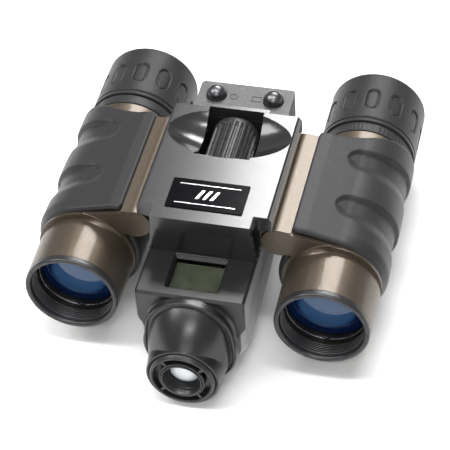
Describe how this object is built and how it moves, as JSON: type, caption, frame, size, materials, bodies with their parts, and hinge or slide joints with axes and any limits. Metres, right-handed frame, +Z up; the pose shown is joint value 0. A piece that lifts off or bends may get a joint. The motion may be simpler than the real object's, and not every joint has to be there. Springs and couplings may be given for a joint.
{
  "type": "binoculars",
  "caption": "Compact roof-prism binoculars with folding barrels, centre focus wheel, twist-up eyecups and a small digital camera module between the barrels.",
  "frame": {"origin": "bottom centre of the bounding box, under the flange of the camera lens hood", "axes": "+X to the right as the user looks through it, +Y from the objectives to the eyepieces (longest side), +Z up through the top cover (shortest side)"},
  "size_m": [0.1018, 0.1106, 0.0446],
  "materials": {
    "bronze_paint": "satin metallic bronze",
    "armour_rubber": "matte",
    "eyecup_rubber": "satin",
    "wheel_rubber": "satin",
    "black_metal": "satin black",
    "dark_plastic": "satin",
    "gloss_cover": "gloss",
    "badge_gloss": "gloss",
    "deck_grey": "fine texture",
    "panel_silver": "silver-grey satin",
    "board_green": "satin",
    "button_chrome": "satin chrome",
    "bright_metal": "bright",
    "brass_insert": "turned",
    "battery_case": "printed sleeve, plain",
    "coated_glass": "blue anti-reflection coating",
    "prism_glass": "clear",
    "lcd_glass": "clear window",
    "lcd_panel": "olive green-grey liquid crystal"
  },
  "bodies": {
    "centre": {"bridge_frame": "dark_plastic", "top_cover": "gloss_cover", "badge_plate": "badge_gloss", "rear_deck": "deck_grey", "switch_board": "board_green", "tact_switches": "bright_metal", "camera_shell": "dark_plastic", "side_panel_left": "panel_silver", "side_panel_right": "panel_silver", "bottom_cover": "panel_silver", "batteries": "battery_case", "battery_contacts": "bright_metal", "tripod_bushing": "brass_insert", "cover_screws": "bright_metal", "lcd_window": "lcd_glass", "lcd_panel": "lcd_panel", "circuit_board": "board_green", "image_sensor": "board_green", "lens_hood": "dark_plastic", "lens_spider_ring": "black_metal", "camera_lens_barrel": "black_metal", "camera_lens": "coated_glass", "usb_socket": "bright_metal", "hinge_pins": "bright_metal"},
    "left_barrel": {"left_housing": "bronze_paint", "left_armour": "armour_rubber", "left_objective_ring": "black_metal", "left_prism_cage": "black_metal", "left_roof_prisms": "prism_glass", "left_eyepiece_tube": "black_metal", "left_eyepiece_ring": "armour_rubber", "left_ocular_cell": "black_metal", "left_ocular_lenses": "coated_glass"},
    "right_barrel": {"right_housing": "bronze_paint", "right_armour": "armour_rubber", "right_objective_ring": "black_metal", "right_prism_cage": "black_metal", "right_roof_prisms": "prism_glass", "right_eyepiece_tube": "black_metal"},
    "right_diopter": {"right_diopter_ring": "armour_rubber"},
    "right_ocular": {"right_ocular_cell": "black_metal", "right_ocular_lenses": "coated_glass"},
    "left_objective": {"left_objective_cell": "black_metal", "left_retaining_ring": "bright_metal", "left_objective_lens": "coated_glass"},
    "right_objective": {"right_objective_cell": "black_metal", "right_retaining_ring": "bright_metal", "right_objective_lens": "coated_glass"},
    "left_eyecup_slider": {"left_eyecup_carrier": "black_metal"},
    "left_eyecup_cup": {"left_eyecup": "eyecup_rubber"},
    "right_eyecup_slider": {"right_eyecup_carrier": "black_metal"},
    "right_eyecup_cup": {"right_eyecup": "eyecup_rubber"},
    "focus_wheel": {"focus_wheel": "wheel_rubber", "focus_shaft": "bright_metal"},
    "focus_carriage": {"focus_carriage": "brass_insert"},
    "power_button": {"power_button": "button_chrome"},
    "shutter_button": {"shutter_button": "button_chrome"},
    "battery_door": {"battery_door": "panel_silver"},
    "port_cover": {"port_cover": "eyecup_rubber"}
  },
  "joints": [
    {"name": "left_barrel_fold", "type": "hinge", "parent": "centre", "child": "left_barrel", "pos_m": [-0.0205, 0, 0.0345], "axis": [0, -1, 0], "range_deg": [0, 16]},
    {"name": "right_barrel_fold", "type": "hinge", "parent": "centre", "child": "right_barrel", "pos_m": [0.0205, 0, 0.0345], "axis": [0, 1, 0], "range_deg": [0, 16]},
    {"name": "focus_turn", "type": "hinge", "parent": "centre", "child": "focus_wheel", "pos_m": [0, 0.00995, 0.0365], "axis": [0, 1, 0], "range_deg": [-150, 150]},
    {"name": "focus_carriage_slide", "type": "slide", "parent": "centre", "child": "focus_carriage", "axis": [0, 1, 0], "range_m": [-0.0012, 0.0012]},
    {"name": "left_objective_slide", "type": "slide", "parent": "left_barrel", "child": "left_objective", "axis": [0, 1, 0], "range_m": [-0.0012, 0.0012]},
    {"name": "right_objective_slide", "type": "slide", "parent": "right_barrel", "child": "right_objective", "axis": [0, 1, 0], "range_m": [-0.0012, 0.0012]},
    {"name": "right_diopter_turn", "type": "hinge", "parent": "right_barrel", "child": "right_diopter", "pos_m": [0.0355, 0.03095, 0.0203], "axis": [0, 1, 0], "range_deg": [-40, 40]},
    {"name": "right_ocular_slide", "type": "slide", "parent": "right_barrel", "child": "right_ocular", "axis": [0, 1, 0], "range_m": [-0.0006, 0.0006]},
    {"name": "left_eyecup_slide", "type": "slide", "parent": "left_barrel", "child": "left_eyecup_slider", "axis": [0, 1, 0], "range_m": [0, 0.005]},
    {"name": "left_eyecup_twist", "type": "hinge", "parent": "left_eyecup_slider", "child": "left_eyecup_cup", "pos_m": [-0.0355, 0.04425, 0.0203], "axis": [0, 1, 0], "range_deg": [0, 90]},
    {"name": "right_eyecup_slide", "type": "slide", "parent": "right_barrel", "child": "right_eyecup_slider", "axis": [0, 1, 0], "range_m": [0, 0.005]},
    {"name": "right_eyecup_twist", "type": "hinge", "parent": "right_eyecup_slider", "child": "right_eyecup_cup", "pos_m": [0.0355, 0.04425, 0.0203], "axis": [0, 1, 0], "range_deg": [0, 90]},
    {"name": "power_button_press", "type": "slide", "parent": "centre", "child": "power_button", "axis": [0, 0, -1], "range_m": [0, 0.0008], "stiffness_N_per_m": 400, "springref_m": -0.0008},
    {"name": "shutter_button_press", "type": "slide", "parent": "centre", "child": "shutter_button", "axis": [0, 0, -1], "range_m": [0, 0.0008], "stiffness_N_per_m": 400, "springref_m": -0.0008},
    {"name": "battery_door_open", "type": "hinge", "parent": "centre", "child": "battery_door", "pos_m": [0, 0.03194, 0.01251], "axis": [1, 0, 0], "range_deg": [0, 100]},
    {"name": "port_cover_open", "type": "hinge", "parent": "centre", "child": "port_cover", "pos_m": [0, 0.0361, 0.0219], "axis": [-1, 0, 0], "range_deg": [0, 105]}
  ],
  "couplings": [
    {"joint": "focus_turn", "follows": "focus_carriage_slide", "rad_per_m": 2181.6},
    {"joint": "left_objective_slide", "follows": "focus_carriage_slide", "ratio": 1},
    {"joint": "right_objective_slide", "follows": "focus_carriage_slide", "ratio": 1},
    {"joint": "right_diopter_turn", "follows": "right_ocular_slide", "rad_per_m": 1163.5},
    {"joint": "left_eyecup_twist", "follows": "left_eyecup_slide", "rad_per_m": 314.15},
    {"joint": "right_eyecup_twist", "follows": "right_eyecup_slide", "rad_per_m": 314.15}
  ]
}
